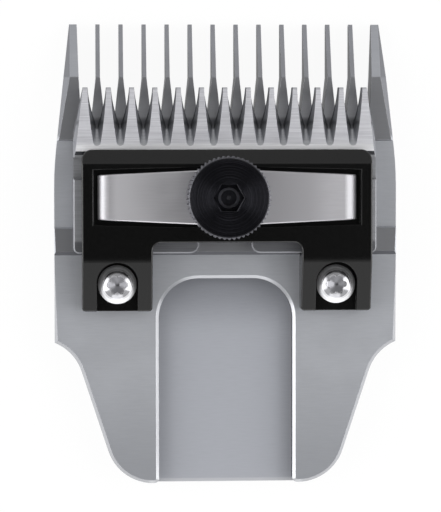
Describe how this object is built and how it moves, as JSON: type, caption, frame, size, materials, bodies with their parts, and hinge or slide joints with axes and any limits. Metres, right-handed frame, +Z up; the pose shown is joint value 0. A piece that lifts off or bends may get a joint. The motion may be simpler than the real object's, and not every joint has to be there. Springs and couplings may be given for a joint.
{
  "type": "hair clipper blade",
  "caption": "Detachable clipper blade head: steel comb plate with a sliding toothed cutter under a black yoke, pressed by a bowed leaf spring and a knurled tension knob.",
  "frame": {"origin": "middle of the flat underside of the comb plate", "axes": "+X across the teeth, +Y towards the tooth tips, +Z up from the underside to the knob"},
  "size_m": [0.05, 0.0672, 0.0139],
  "materials": {
    "comb_steel": "ground, with lapped lands",
    "cutter_steel": "ground",
    "yoke_black": "satin black moulding",
    "spring_steel": "rolled strip",
    "knob_black": "turned and blackened",
    "stud_black": "blackened",
    "screw_plating": "bright plated"
  },
  "bodies": {
    "head": {"comb_plate": "comb_steel", "spring_bridge": "yoke_black", "leaf_spring": "spring_steel", "tension_stud": "stud_black", "clamp_screws": "screw_plating"},
    "cutter": {"cutter_blade": "cutter_steel"},
    "knob": {"tension_knob": "knob_black"}
  },
  "joints": [
    {"name": "cutter_slide", "type": "slide", "parent": "head", "child": "cutter", "axis": [1, 0, 0], "range_m": [-0.00151, 0.00187]},
    {"name": "knob_turn", "type": "hinge", "parent": "head", "child": "knob", "pos_m": [0, 0.0084, 0.0117], "axis": [0, 0, 1], "range_deg": [0, 360]}
  ]
}
